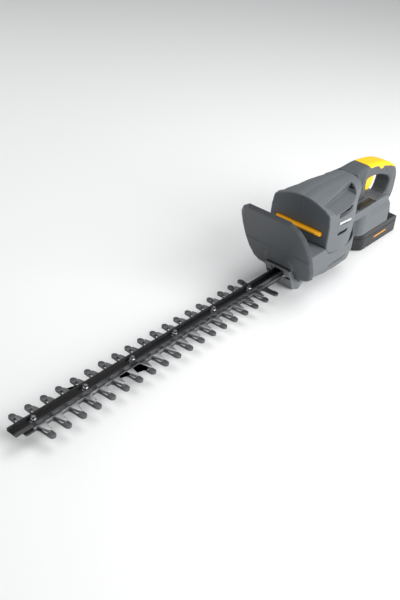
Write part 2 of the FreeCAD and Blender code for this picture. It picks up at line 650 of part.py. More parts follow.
def make_cowl():
    """Cowl with a flat front face, a hood to hold and a spine running back to the handle."""
    skirt_side = slab_y(SKIRT + [(-290, 97), (-290, 220), (FACE_X + 20, 220), (FACE_X + 20, SHELF_Z + FIT)],
                        -100, 100)
    outer = cowl_block(0).common(skirt_side)
    inner = cowl_block(WALL)
    hole = pocket()
    thick = hole.copy()
    thick.translate(V(0, -WALL, -WALL))
    hollow = inner.cut(fuse([thick, hole])).cut(mirrored(fuse([thick, hole])))
    shell = cut(outer, [hole, mirrored(hole), hollow])
    bar_window = box(FACE_X - 10, FACE_X + 10, -46.0, 46.0, BAR_LOW - 0.5, BAR_HIGH + 0.5)
    tools = [bar_window, box(SEAM_X - 1, SEAM_X + 4, -24, 24, 104, 148)]
    for x0, x1, z, height in COWL_SLOTS:
        slot = slab_y([(x0, z, 0.8), (x1, z, 0.8), (x1, z + height, 0.8), (x0 - 3, z + height, 0.8)], 30, 80)
        tools += [slot, mirrored(slot)]
    badge_seat = slab_y([(-168, 118.5), (-211, 115.5), (-211, 121.0), (-168, 124.5)], BADGE_FLOOR, 80)
    tools += [badge_seat, mirrored(badge_seat)]
    posts = []
    for x, y in HOUSING_SCREWS:
        top = 96 if x > MOTOR_X else 140
        column = post(4.2, x, y, 66.3, top).common(outer.cut(hole).cut(mirrored(hole)))
        posts.append(column.cut(post(1.45, x, y, 60, 78)))
        tools.append(post(1.45, x, y, 60, 78))
    shell = fuse([shell] + posts)
    shell = cut(shell, tools)
    add("cowl_left", side_half(shell, 1))
    add("cowl_right", side_half(shell, -1))


# ---------------------------------------------------------------- front switch bar
def make_switch_bar():
    """Long paddle across the cowl's face, pressed back by the fingers of the front hand."""
    front = FACE_X + 8.5
    paddle = slab_z(both_sides([(front, 37.0), (FACE_X + 3, 45.5, 1.5), (FACE_X - 4, 45.5)]), BAR_LOW, BAR_HIGH)
    top_bevel = slab_y([(front + 1, BAR_HIGH - 2), (front + 1, BAR_HIGH + 1), (front - 4, BAR_HIGH + 1)], -60, 60)
    low_bevel = slab_y([(front + 1, BAR_LOW + 4), (front + 1, BAR_LOW - 1), (front - 6, BAR_LOW - 1)], -60, 60)
    flange = box(FACE_X - 4.9, FACE_X - WALL - FIT, -48, 48, BAR_LOW - 2.5, BAR_HIGH + 2.5)
    add("front_switch_bar", fuse([cut(paddle, [top_bevel, low_bevel]), flange]))
    middle = (BAR_LOW + BAR_HIGH) / 2
    bracket_x = FACE_X - 11.0
    bracket = box(bracket_x - 1.6, bracket_x, -51, 51, middle - 9, middle + 9)
    pegs = [rod(2.0, V(bracket_x, y, middle), V(bracket_x + 2.0, y, middle)) for y in (28, -28)]
    bracket = fuse([bracket] + pegs)
    plunger_hole = rod(1.6, V(bracket_x - 4, 40, middle), V(bracket_x + 4, 40, middle))
    add("switch_bar_bracket", bracket.cut(plunger_hole))
    springs = [coil_spring(3.1, 0.5, 2, V(bracket_x + 0.1, y, middle), V(FACE_X - 5.0, y, middle)) for y in (28, -28)]
    add("switch_bar_springs", Part.makeCompound(springs))
    switch = box(bracket_x - 15, bracket_x - 1.7, 33, 50, middle - 8, middle + 8)
    plunger = rod(1.4, V(bracket_x - 2, 40, middle), V(FACE_X - 8.8, 40, middle))
    add("front_microswitch", fuse([switch, plunger]))


def coil_spring(radius, wire_r, turns, start, end):
    """Compression spring between two points."""
    length = start.distanceToPoint(end)
    pitch = (length - 2 * wire_r) / turns
    helix = Part.makeHelix(pitch, length - 2 * wire_r, radius)
    profile = Part.Wire(Part.Circle(V(radius, 0, 0), V(0, 1, 0), wire_r).toShape())
    spring = Part.Wire(helix.Edges).makePipeShell([profile], True, True)
    spring.translate(V(0, 0, wire_r))
    turn = FreeCAD.Rotation(UP, end - start)
    spring.Placement = FreeCAD.Placement(start, turn).multiply(spring.Placement)
    return spring


# ---------------------------------------------------------------- rear handle
# outer line of the handle, from the seam over the top bar and down the rear post to its heel
HANDLE_CURVE = [(SEAM_X - FIT, 160.0), (-300, 164), (-328, 165.4), (-354, 162.6), (-388, 154.8), (-418, 142.8),
                (-439, 130.5), (-452, 117), (-458.6, 103), (REAR_X, 90), (-458.5, 76), (-453.5, 66), (-446, 59)]
HANDLE_FOOT_X = -409.0   # front of the rear post's foot


def loop_face(inset):
    """Side outline of the handle: neck, top bar, rear post and heel, pulled in by a wall's thickness."""
    outer = [V(x, 0, z) for x, z in HANDLE_CURVE]
    inner = []
    for before, point, after in zip(outer[:1] + outer, outer, outer[1:] + outer[-1:]):
        along = (after - before).normalize()
        inner.append(point + V(-along.z, 0, along.x) * inset)
    curve = Part.BSplineCurve()
    curve.interpolate(inner)
    foot_x = HANDLE_FOOT_X - inset
    neck_z = DOCK_TOP + 0.05 + inset
    low = [inner[-1], V(foot_x, 0, inner[-1].z), V(foot_x, 0, neck_z), V(inner[0].x, 0, neck_z), inner[0]]
    edges = [curve.toShape()]
    edges += [Part.LineSegment(a, b).toShape() for a, b in zip(low, low[1:])]
    return Part.Face(Part.Wire(edges))


GRIP_HOLE = [(-324, 136, 5), (-328, 112, 20), (-342, DOCK_TOP, 4), (-368, 93), (-415, 80, 6), (-424, 106, 8),
             (-412, 118, 8), (-381, 130, 20), (-350, 136, 15)]


def handle_block(inset):
    face = loop_face(inset)
    face.translate(V(0, -60, 0))
    body = face.extrude(V(0, 120, 0))
    half = GRIP_HALF - inset
    plan = slab_z(both_sides([(SEAM_X - FIT - inset, NECK_HALF - inset), (-292, 31.5 - inset, 20), (-322, half + 1.5, 40),
                              (-350, half, 60), (-430, half, 60), (REAR_X + inset, half - 5, 6)]), 0, 200)
    section = slab_x(both_widths([(14 - inset, 90), (17 - inset, 104, 10), (NECK_HALF - inset, 138, 10),
                                  (NECK_HALF - inset, 149, 8), (20 - inset, 158, 20), (12 - inset, 176)]),
                     SEAM_X - 60, SEAM_X)
    tail = box(-480, SEAM_X - 60, -60, 60, 0, 200)
    body = body.common(plan)
    return body.common(section).fuse(body.common(tail)).removeSplitter()


def make_handle():
    block = handle_block(0)
    wall_hole = slab_y(GRIP_HOLE, -80, 80)
    block = block.cut(wall_hole)
    hollow = handle_block(WALL + 0.4)
    wide_hole = Part.Face(outline(GRIP_HOLE, on_xz).makeOffset2D(WALL, 2))
    wide_hole.translate(V(0, -80, 0))
    hollow = hollow.cut(wide_hole.extrude(V(0, 160, 0)))
    trigger_slot = box(-378, -327, -7.0, 7.0, 120, 142)
    cap = cap_region(0)
    shell = cut(block, [hollow, trigger_slot, cap])
    shell = shell.cut(box(SEAM_X - 5, SEAM_X + 1, -22, 22, 106, 146))
    posts = []
    for x, z in HANDLE_SCREWS:
        posts.append(tube_pin(3.6, x, z, -40, 40).common(block))
    shell = fuse([shell] + posts)
    tools = [tube_pin(1.45, x, z, -60, 60) for x, z in HANDLE_SCREWS]
    tools += [rod(3.2, V(x, -60, z), V(x, -screw_seat(x), z)) for x, z in HANDLE_SCREWS]
    px, pz = TRIGGER_PIN
    boss = tube_pin(4.5, px, pz, -15, 15).common(block).cut(tube_pin(9, px, pz, -6.4, 6.4))
    shell = fuse([shell, boss])
    tools.append(tube_pin(2.0, px, pz, -11, 11))
    shell = cut(shell, tools)
    add("handle_left", side_half(shell, 1))
    add("handle_right", side_half(shell, -1))
    screws = []
    for x, z in HANDLE_SCREWS:
        seat = -screw_seat(x)
        screws.append(rod(1.4, V(x, seat, z), V(x, 11, z)).fuse(rod(3.0, V(x, seat - 2.2, z), V(x, seat, z))))
    add("handle_screws", Part.makeCompound(screws))


def screw_seat(x):
    """Depth from the centre of a handle screw's head."""
    return 22.0 if x > -310 else 10.5


def cap_region(gap):
    """The soft top piece of the handle: the crown of the top bar, down to a shaped lower edge."""
    low = [(-316, 190), (-316, 168.5), (-330, 157 + gap, 3), (-346, 155.4 + gap), (-361, 152.3 + gap, 2),
           (-368, 146 + gap, 2), (-378, 143.4 + gap, 2), (-382, 147 + gap, 2), (-412, 138.4 + gap),
           (-432, 129.4 + gap, 2), (-448, 127 + gap), (-448, 190)]
    return slab_y(low, -60, 60)


def make_handle_cap():
    """Cap over the grip, a few millimetres thick, with a tab low on each side."""
    skin = handle_block(0).common(cap_region(0.15))
    core = handle_block(WALL + 0.4)
    core.translate(V(0, 0, 0.3))
    add("handle_cap", skin.cut(core))


def make_trigger():
    px, pz = TRIGGER_PIN
    blade = slab_y([(px + 4, pz + 4, 3), (px + 4, pz - 4, 3), (-342, 131), (-344.2, 118, 8), (-349, 105, 4),
                    (-358, 102, 4), (-369, 110, 14), (-373.5, 127, 3), (-373.5, 137, 2), (-344, 143, 2)], -6.4, 6.4)
    blade = blade.cut(tube_pin(2.04, px, pz, -8, 8))
    front = rounded(blade, 2.0, lambda p, e: abs(abs(p.y) - 6.4) < 0.01 and p.z < 128 and e.Length > 6)
    add("trigger", front)
    add("trigger_pin", tube_pin(1.98, px, pz, -10.8, 10.8))
    add("trigger_switch", switch_body())
    add("trigger_spring", coil_spring(2.6, 0.5, 4, V(-369, 0, 138.4), V(-369, 0, 147.4)))


def switch_body():
    body = box(-376, -348, -8, 8, 147.5, 151.0)
    tall = box(-364, -337, -8, 8, 146.5, 156.0)
    plunger = rod(1.8, V(-356, 0, 144.3), V(-356, 0, 148))
    return fuse([body, tall, plunger])


# ---------------------------------------------------------------- battery dock
def dock_plan(inset):
    half = DOCK_HALF - inset
    return both_sides([(-287 - inset, half - 24, 16), (-304 - inset, half, 22), (-404 + inset, half, 10),
                       (-408.6 + inset, half - 8)])


def dock_waist(inset):
    """Space beside the dock's sunk waist: the side leans in under the top edge, then out again."""
    top, waist, foot = 36.8 - inset, 33.6 - inset, DOCK_HALF + 0.1 - inset
    return slab_x([(top, DOCK_TOP + 1), (waist, 80), (foot, 67 - inset), (60, 67 - inset), (60, DOCK_TOP + 1)],
                  -420, -322 + inset)


def make_dock():
    """Foot of the handle: closed top, curved front, open below and behind for the battery's tongue."""
    lower = slab_z(dock_plan(0), DOCK_BOTTOM, 84)
    upper = slab_z(both_sides([(-252.3, DOCK_HALF), (-387, DOCK_HALF, 4), (-408.6, DOCK_HALF - 8)]), 80, DOCK_TOP)
    rake = slab_y([(-376, DOCK_TOP + 5), (-385, DOCK_TOP), (-400, 80), (-407, 64), (-408.6, 50), (-420, 50),
                   (-420, DOCK_TOP + 5)], 22, 60)
    waist = dock_waist(0)
    body = cut(fuse([lower, upper]), [rake, mirrored(rake), waist, mirrored(waist)])
    hollow = fuse([slab_z(dock_plan(WALL), DOCK_BOTTOM - 1, 81),
                   slab_z(both_sides([(-256, DOCK_HALF - WALL), (-376, DOCK_HALF - WALL)]), 78, DOCK_TOP - WALL)])
    keep_rake = slab_y([(-372, DOCK_TOP + 5), (-381, DOCK_TOP), (-396, 80), (-402, 64), (-404, 50), (-404, 30),
                        (-420, 30), (-420, DOCK_TOP + 5)], 21, 60)
    keep_waist = dock_waist(WALL)
    hollow = cut(hollow, [keep_rake, mirrored(keep_rake), keep_waist, mirrored(keep_waist)])
    rear_gate = box(-412, -398, -26, 26, DOCK_BOTTOM - 1, 57.6)
    cable_hole = box(-275, -262, -15, 15, DOCK_TOP - 4, DOCK_TOP + 1)
    rails = []
    for side in (1, -1):
        y0, y1 = sorted((21.2 * side, (DOCK_HALF - 1) * side))
        rails.append(box(-396, -316, y0, y1, DOCK_BOTTOM + 2, DOCK_BOTTOM + 6))
    plate_seat = box(-344.2, -285.8, 18.3, 35.0, DOCK_TOP - 1.2, DOCK_TOP + 1)
    valley = slab_y([(-342, DOCK_TOP), (-368, 93), (-409, 81.6), (-409, 110), (-342, 110)], -29, 29)
    under_valley = slab_y([(-340, DOCK_TOP - WALL), (-368, 90), (-412, 78), (-412, 110), (-340, 110)], -32, 32)
    body = cut(body, [hollow.cut(under_valley), rear_gate, cable_hole, plate_seat, valley])
    rails = [rail.common(slab_z(dock_plan(0.5), 0, 100)) for rail in rails]
    add("battery_dock", fuse([body] + rails))
    add("rating_plate", slab_z([(-286.1, 18.6, 1), (-286.1, 34.7, 1), (-343.9, 34.7, 1), (-343.9, 18.6, 1)],
                               DOCK_TOP - 1.2, DOCK_TOP - 0.2))


def make_terminal_block():
    """Three blades that reach down through the tongue's slits, held from the dock's roof."""
    block = box(-348, -327, -18, 18, 60, 76)
    hanger = box(-338, -328, -18, 18, 76, DOCK_TOP - WALL)
    blades = [box(-346, -334, y - 0.5, y + 0.5, 38, 60) for y in CONTACT_Y]
    add("terminal_block", fuse([block, hanger] + blades))


def make_electronics():
    add("control_board", box(-306, -262, -25, 25, 84, 85.6))
    parts = [box(-300, -284, -20, -4, 85.6, 92), box(-300, -284, 4, 20, 85.6, 92),
             post(4.5, -270, 14, 85.6, 93)]
    add("board_components", Part.makeCompound(parts))
    wires = []
    for y in (-6, 6):
        path = [V(MOTOR_X - 23, y, 121), V(MOTOR_X - 36, y, 130), V(-262, y, 128), V(-272, y, 96)]
        runs = [rod(1.2, a, b) for a, b in zip(path, path[1:])]
        knees = [Part.makeSphere(1.2, p) for p in path[1:-1]]
        wires.append(fuse(runs + knees))
    add("motor_leads", Part.makeCompound(wires))


# ---------------------------------------------------------------- battery
def pack_plan(inset):
    half = PACK_HALF - inset
    return both_sides([(PACK_FRONT - inset, half - 18, 10), (PACK_FRONT - 18 - inset, half, 14),
                       (PACK_REAR + 12 + inset, half, 10), (PACK_REAR + inset, half - 13, 8)])


def make_battery():
    """Pack that slides out to the rear: lower case, lid with a tongue, cells, contacts, latch button."""
    split = 24.0
    lower = slab_z(pack_plan(0), 0.0, split)
    lower = rounded(lower, 2.5, lambda p, e: p.z < 0.01)
    lower_hollow = slab_z(pack_plan(2.2), 2.2, split + 1)
    notch = box(-346, -338, -60, 60, -1, 1.2)
    add("battery_case", cut(lower, [lower_hollow, notch]))
    lid = slab_z(pack_plan(0), split + 0.05, PACK_TOP)
    tongue = slab_z(both_sides([(-312, 24.8, 3), (-452, 24.8, 4)]), PACK_TOP - 1, 57.0)
    grooves = [box(-409, -300, *sorted((20.6 * s, 30 * s)), PACK_TOP + 0.2, 44.4) for s in (1, -1)]
    rear_slope = slab_y([(-429, 58), (-435, PACK_TOP), (-457.5, split + 1), (-470, split + 1), (-470, 60)], -60, 60)
    body = fuse([lid, tongue]).cut(rear_slope)
    hollow = fuse([slab_z(pack_plan(2.2), split - 1, PACK_TOP - 2.2).cut(box(-480, -431, -60, 60, 0, 60)),
                   slab_z(both_sides([(-315, 18), (-426, 18)]), PACK_TOP - 3, 54.6)])
    button_hole = box(-426, -412, -13, 13, 50, 60)
    slits = [box(-352, -305, y - 1.2, y + 1.2, PACK_TOP + 0.2, 58) for y in CONTACT_Y]
    body = cut(body, [hollow, button_hole] + slits + grooves)
    add("battery_lid", body)
    cells = []
    for row in range(5):
        x = FIRST_CELL_X - CELL_PITCH * row
        cells.append(tube_pin(9.2, x, 12.6, -32.5, 32.5))
    add("battery_cells", Part.makeCompound(cells))
    strips = []
    for side in (1, -1):
        y0, y1 = sorted((32.6 * side, 32.9 * side))
        for first in range(0, 4, 2):
            x = FIRST_CELL_X - CELL_PITCH * first
            strips.append(box(x - 27, x + 5, y0, y1, 9, 16))
    add("cell_strips", Part.makeCompound(strips))
    add("battery_board", box(-410, -320, -15, 15, 26, 27.6))
    clips = []
    for y in CONTACT_Y:
        clip = box(-346, -334, y - 2.2, y + 2.2, 27.7, 49.6).cut(box(-350, -330, y - 1.1, y + 1.1, 31, 60))
        clips.append(clip)
    add("battery_contacts", Part.makeCompound(clips))
    button = fuse([box(-425.5, -412.5, -12.5, 12.5, 53, 58.6), box(-423, -415, -14.5, 14.5, 51.2, 53.6)])
    add("release_button", rounded(button, 1.0, lambda p, e: p.z > 58.5))
    add("release_spring", coil_spring(3.4, 0.5, 4, V(-419, 0, 36.6), V(-419, 0, 51.1)))


def main():
    make_comb()
    make_blade("lower_blade", LOWER_BLADE_Z)
    make_blade("upper_blade", UPPER_BLADE_Z)
    make_bar()
    make_blade_bolts()
    make_gears()
    make_crank()
    make_crank_bearings()
    make_gearcase()
    make_gearcase_cover()
    make_motor()
    make_guard()
    make_lower_housing()
    make_cowl()
    make_switch_bar()
    make_handle()
    make_handle_cap()
    make_trigger()
    make_dock()
    make_terminal_block()
    make_electronics()
    make_battery()
    os.makedirs("parts", exist_ok=True)
    for name, shape in PARTS.items():
        shape.translate(V(-CENTRE_X, 0, 0))
        shape.exportStep("parts/" + name + ".step")
    whole = Part.makeCompound(list(PARTS.values())).BoundBox
    print(len(PARTS), "nodes", whole)


main()
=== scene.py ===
"""Looks for a battery hedge trimmer: moulded shells, ground blades, fasteners, trim and their finishes.

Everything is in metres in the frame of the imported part: +X to the blade tip, +Y to the user's left, +Z up.
"""
import json
import math
import bmesh
import bpy
from mathutils import Matrix, Vector


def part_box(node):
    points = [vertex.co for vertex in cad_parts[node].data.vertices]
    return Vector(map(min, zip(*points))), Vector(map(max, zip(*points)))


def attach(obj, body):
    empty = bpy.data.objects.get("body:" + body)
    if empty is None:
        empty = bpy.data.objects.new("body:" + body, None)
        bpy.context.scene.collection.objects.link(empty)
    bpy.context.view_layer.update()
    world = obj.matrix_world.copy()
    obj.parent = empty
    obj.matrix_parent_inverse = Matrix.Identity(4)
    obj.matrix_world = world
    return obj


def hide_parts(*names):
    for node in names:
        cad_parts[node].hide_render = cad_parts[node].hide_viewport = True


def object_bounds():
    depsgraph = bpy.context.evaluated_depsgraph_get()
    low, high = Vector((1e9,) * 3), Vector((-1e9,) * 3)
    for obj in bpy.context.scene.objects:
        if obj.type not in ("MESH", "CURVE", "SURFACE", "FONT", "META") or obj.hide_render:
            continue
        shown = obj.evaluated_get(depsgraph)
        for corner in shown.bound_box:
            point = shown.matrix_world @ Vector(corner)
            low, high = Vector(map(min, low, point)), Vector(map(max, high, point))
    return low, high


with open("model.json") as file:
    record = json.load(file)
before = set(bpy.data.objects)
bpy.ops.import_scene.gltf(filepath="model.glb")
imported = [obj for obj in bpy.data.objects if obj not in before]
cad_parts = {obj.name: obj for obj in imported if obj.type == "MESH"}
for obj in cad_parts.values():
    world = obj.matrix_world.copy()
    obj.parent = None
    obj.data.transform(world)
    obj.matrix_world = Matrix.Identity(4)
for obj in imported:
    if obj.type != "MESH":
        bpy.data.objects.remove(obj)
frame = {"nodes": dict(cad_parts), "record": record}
CAD_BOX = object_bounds()
MM = 0.001
NODES = frame["nodes"]
RECORD = frame["record"]
BODY_OF = {node: body for body, nodes in RECORD["behaviour"]["bodies"].items() for node in nodes}
SLOT_OF = {part["node"]: part["material_slot"] for part in RECORD["subparts"]}

# ---------------------------------------------------------------- camera, light and floor
CAMERA_TURN = math.radians(126.593)     # round the object, counted from looking along +Y
CAMERA_HEIGHT = math.radians(33.283)
CAMERA_ROLL = math.radians(6.121)
CAMERA_DISTANCE = 1.142
CAMERA_AIM = Vector((0.2316, 0.0957, 0.1728))
CAMERA_LENS = 53.13
SKY = 0.30
# name, direction from the object, distance, side length, power
LAMPS = [("window_left", (-0.30, 1.0, 0.55), 1.9, 1.5, 40.0),
         ("roof", (-0.25, 0.05, 1.0), 1.9, 1.6, 19.0),
         ("far_side", (0.25, -1.0, 0.45), 2.0, 1.2, 5.0)]


def make_camera():
    turn, height, roll = CAMERA_TURN, CAMERA_HEIGHT, CAMERA_ROLL
    back = Vector((math.sin(turn) * math.cos(height), -math.cos(turn) * math.cos(height), math.sin(height)))
    level = Vector((math.cos(turn), math.sin(turn), 0))
    upright = back.cross(level)
    right = level * math.cos(roll) + upright * math.sin(roll)
    top = upright * math.cos(roll) - level * math.sin(roll)
    data = bpy.data.cameras.new("camera")
    data.lens = CAMERA_LENS
    camera = bpy.data.objects.new("camera", data)
    bpy.context.scene.collection.objects.link(camera)
    camera.matrix_world = Matrix.LocRotScale(CAMERA_AIM + back * CAMERA_DISTANCE,
                                             Matrix((right, top, back)).transposed(), None)
    bpy.context.scene.camera = camera


def make_lights():
    world = bpy.data.worlds.new("studio")
    world.use_nodes = True
    sky = world.node_tree.nodes["Background"]
    sky.inputs["Color"].default_value = (0.97, 0.985, 1.0, 1)
    sky.inputs["Strength"].default_value = SKY
    bpy.context.scene.world = world
    bpy.context.scene.view_settings.view_transform = "Standard"
    middle = (CAD_BOX[0] + CAD_BOX[1]) / 2
    for name, direction, distance, side, power in LAMPS:
        data = bpy.data.lights.new(name, "AREA")
        data.size = side
        data.energy = power
        lamp = bpy.data.objects.new(name, data)
        bpy.context.scene.collection.objects.link(lamp)
        away = Vector(direction).normalized()
        lamp.location = middle + away * distance
        lamp.rotation_euler = away.to_track_quat("Z", "Y").to_euler()


def make_floor():
    mesh = bpy.data.meshes.new("floor")
    half = 6.0
    corners = [(-half, -half), (half, -half), (half, half), (-half, half)]
    mesh.from_pydata([(x, y, CAD_BOX[0].z - 0.0002) for x, y in corners], [], [(0, 1, 2, 3)])
    floor = bpy.data.objects.new("floor", mesh)
    bpy.context.scene.collection.objects.link(floor)
    paint = bpy.data.materials.new("pale_floor")
    paint.use_nodes = True
    shader = paint.node_tree.nodes["Principled BSDF"]
    shader.inputs["Base Color"].default_value = (0.93, 0.93, 0.93, 1)
    shader.inputs["Roughness"].default_value = 0.85
    mesh.materials.append(paint)


# ---------------------------------------------------------------- node tree helpers
def put(tree, kind, settings=None, **inputs):
    """Adds a node. Each input is a value or another node's output; n0, n1... name an input by number."""
    made = tree.nodes.new(kind)
    for key, value in (settings or {}).items():
        setattr(made, key, value)
    for key, value in inputs.items():
        by_number = key[0] == "n" and key[1:].isdigit()
        socket = made.inputs[int(key[1:])] if by_number else made.inputs[key.replace("_", " ")]
        if isinstance(value, bpy.types.NodeSocket):
            tree.links.new(value, socket)
        else:
            socket.default_value = value
    return made


def maths(tree, operation, *values, clamp=False):
    inputs = {f"n{i}": value for i, value in enumerate(values)}
    return put(tree, "ShaderNodeMath", {"operation": operation, "use_clamp": clamp}, **inputs).outputs[0]


def new_group(name, inputs, outputs, kind="ShaderNodeTree"):
    """Node group with sockets given as (name, socket type, default)."""
    tree = bpy.data.node_groups.new(name, kind)
    for title, socket_type, default in inputs:
        socket = tree.interface.new_socket(title, in_out="INPUT", socket_type=socket_type)
        if default is not None:
            socket.default_value = default
    for title, socket_type in outputs:
        tree.interface.new_socket(title, in_out="OUTPUT", socket_type=socket_type)
    return tree, tree.nodes.new("NodeGroupInput").outputs, tree.nodes.new("NodeGroupOutput").inputs


# ---------------------------------------------------------------- effects that several finishes share
def spark_texture_group():
    """Texture of a spark-eroded mould: fine pits, with a slow change of tone over the piece."""
    tree, given, out = new_group("mould_texture",
                                 [("Vector", "NodeSocketVector", None), ("Scale", "NodeSocketFloat", 900.0)],
                                 [("Height", "NodeSocketFloat"), ("Tone", "NodeSocketFloat")])
    fine = put(tree, "ShaderNodeTexNoise", Vector=given["Vector"], Scale=given["Scale"], Detail=3.0,
               Roughness=0.62)
    pits = put(tree, "ShaderNodeTexVoronoi", Vector=given["Vector"], Scale=given["Scale"])
    slow = put(tree, "ShaderNodeTexNoise", Vector=given["Vector"], Scale=16.0, Detail=4.0, Roughness=0.5)
    height = maths(tree, "MULTIPLY_ADD", pits.outputs["Distance"], 0.5, fine.outputs[0])
    tree.links.new(height, out["Height"])
    tree.links.new(slow.outputs[0], out["Tone"])
    return tree


def rubbed_edge_group():
    """Mask of the outer edges, where handling has polished or worn the surface."""
    tree, given, out = new_group("rubbed_edge",
                                 [("Vector", "NodeSocketVector", None), ("Reach", "NodeSocketFloat", 0.06)],
                                 [("Mask", "NodeSocketFloat")])
    shape = put(tree, "ShaderNodeNewGeometry")
    patch = put(tree, "ShaderNodeTexNoise", Vector=given["Vector"], Scale=140.0, Detail=5.0, Roughness=0.65)
    raised = maths(tree, "SUBTRACT", shape.outputs["Pointiness"], 0.515)
    edge = maths(tree, "DIVIDE", raised, given["Reach"], clamp=True)
    broken = maths(tree, "MULTIPLY_ADD", patch.outputs[0], 1.6, -0.35, clamp=True)
    tree.links.new(maths(tree, "MULTIPLY", edge, broken), out["Mask"])
    return tree


def fine_scratch_group():
    """Hair scratches in two directions."""
    tree, given, out = new_group("fine_scratches",
                                 [("Vector", "NodeSocketVector", None), ("Amount", "NodeSocketFloat", 0.5)],
                                 [("Mask", "NodeSocketFloat")])
    lines = []
    for turn, stretch in ((0.5, (30, 900, 500)), (-0.9, (24, 1300, 700))):
        place = put(tree, "ShaderNodeMapping", Vector=given["Vector"], Rotation=(0.2, 0.3, turn),
                    Scale=stretch)
        streak = put(tree, "ShaderNodeTexNoise", Vector=place.outputs[0], Scale=1.0, Detail=2.0)
        lines.append(maths(tree, "MULTIPLY_ADD", streak.outputs[0], 9.0, -6.1, clamp=True))
    both = maths(tree, "MAXIMUM", *lines)
    tree.links.new(maths(tree, "MULTIPLY", both, given["Amount"]), out["Mask"])
    return tree


def grinding_group():
    """Parallel grinding lines: fine along one direction, drawn out along the other."""
    tree, given, out = new_group("grinding_lines",
                                 [("Vector", "NodeSocketVector", None),
                                  ("Stretch", "NodeSocketVector", (900, 40, 40))],
                                 [("Height", "NodeSocketFloat"), ("Tone", "NodeSocketFloat")])
    place = put(tree, "ShaderNodeVectorMath", {"operation": "MULTIPLY"}, n0=given["Vector"],
                n1=given["Stretch"])
    fine = put(tree, "ShaderNodeTexNoise", Vector=place.outputs[0], Scale=1.6, Detail=4.0, Roughness=0.7)
    slow = put(tree, "ShaderNodeTexNoise", Vector=given["Vector"], Scale=38.0, Detail=5.0, Roughness=0.6)
    tree.links.new(fine.outputs[0], out["Height"])
    tree.links.new(slow.outputs[0], out["Tone"])
    return tree


def parting_line_group():
    """Mask of the line where the left and right shells meet."""
    tree, given, out = new_group("parting_line",
                                 [("Vector", "NodeSocketVector", None), ("Width", "NodeSocketFloat", 0.0004)],
                                 [("Mask", "NodeSocketFloat")])
    parts = put(tree, "ShaderNodeSeparateXYZ", Vector=given["Vector"])
    away = maths(tree, "DIVIDE", maths(tree, "ABSOLUTE", parts.outputs["Y"]), given["Width"])
    tree.links.new(maths(tree, "SUBTRACT", 1.0, away, clamp=True), out["Mask"])
    return tree


MOULD_TEXTURE = spark_texture_group()
RUBBED_EDGE = rubbed_edge_group()
FINE_SCRATCHES = fine_scratch_group()
GRINDING = grinding_group()
PARTING_LINE = parting_line_group()


def use(tree, group, **inputs):
    return put(tree, "ShaderNodeGroup", {"node_tree": group}, **inputs).outputs


def shade_mix(tree, mask, below, above):
    """Colour that goes from one to the other with the mask."""
    mix = put(tree, "ShaderNodeMix", {"data_type": "RGBA"}, n0=mask, n6=below, n7=above)
    return mix.outputs[2]


def ramp(tree, value, low, high):
    made = put(tree, "ShaderNodeMapRange", Value=value, n3=low, n4=high)
    return made.outputs[0]


def start_finish(name):
    material = bpy.data.materials.new(name)
    material.use_nodes = True
    tree = material.node_tree
    place = tree.nodes.new("ShaderNodeTexCoord").outputs["Object"]
    return material, tree, tree.nodes["Principled BSDF"].inputs, place


def scaled(colour, factor):
    return (*[channel * factor for channel in colour[:3]], 1)


# ---------------------------------------------------------------- finishes
def moulded_plastic(name, colour, roughness=0.46, texture=0.00003, worn=0.25, seam=False, scale=900.0):
    """Textured moulding: tone drifts a little, edges are polished by handling, a parting line where asked."""
    material, tree, shader, place = start_finish(name)
    pits = use(tree, MOULD_TEXTURE, Vector=place, Scale=scale)
    edge = use(tree, RUBBED_EDGE, Vector=place)["Mask"]
    marks = use(tree, FINE_SCRATCHES, Vector=place, Amount=0.5)["Mask"]
    tone = shade_mix(tree, pits["Tone"], scaled(colour, 0.88), scaled(colour, 1.12))
    speck = shade_mix(tree, ramp(tree, pits["Height"], 0.0, 0.35), tone, scaled(colour, 1.2))
    shown = shade_mix(tree, maths(tree, "MULTIPLY", edge, worn), speck, scaled(colour, 2.1))
    rough = maths(tree, "MULTIPLY_ADD", pits["Tone"], 0.16, roughness - 0.08)
    rough = maths(tree, "SUBTRACT", rough, maths(tree, "MULTIPLY", edge, 0.12))
    height = maths(tree, "SUBTRACT", pits["Height"], maths(tree, "MULTIPLY", marks, 0.8))
    if seam:
        line = use(tree, PARTING_LINE, Vector=place)["Mask"]
        shown = shade_mix(tree, line, shown, scaled(colour, 0.18))
        height = maths(tree, "SUBTRACT", height, maths(tree, "MULTIPLY", line, 8.0))
    bump = put(tree, "ShaderNodeBump", Strength=0.55, Distance=texture, Height=height)
    tree.links.new(shown, shader["Base Color"])
    tree.links.new(rough, shader["Roughness"])
    tree.links.new(bump.outputs[0], shader["Normal"])
    shader["Specular IOR Level"].default_value = 0.45
    return material


def ground_steel(name, colour, roughness=0.33, stretch=(900, 40, 40), oil=0.5):
    """Ground plate: grinding lines, a darker film of oil and resin in patches, brighter rubbed edges."""
    material, tree, shader, place = start_finish(name)
    lines = use(tree, GRINDING, Vector=place, Stretch=stretch)
    edge = use(tree, RUBBED_EDGE, Vector=place, Reach=0.04)["Mask"]
    film = maths(tree, "MULTIPLY_ADD", lines["Tone"], 3.2, -1.2, clamp=True)
    clean = shade_mix(tree, lines["Height"], scaled(colour, 0.82), scaled(colour, 1.15))
    dulled = shade_mix(tree, maths(tree, "MULTIPLY", film, oil), clean, scaled(colour, 0.45))
    shown = shade_mix(tree, edge, dulled, scaled(colour, 1.6))
    rough = maths(tree, "MULTIPLY_ADD", lines["Height"], 0.22, roughness - 0.1)
    rough = maths(tree, "MULTIPLY_ADD", film, 0.08, rough)
    bump = put(tree, "ShaderNodeBump", Strength=0.4, Distance=0.00002, Height=lines["Height"])
    tree.links.new(shown, shader["Base Color"])
    tree.links.new(rough, shader["Roughness"])
    tree.links.new(bump.outputs[0], shader["Normal"])
    shader["Metallic"].default_value = 1.0
    return material


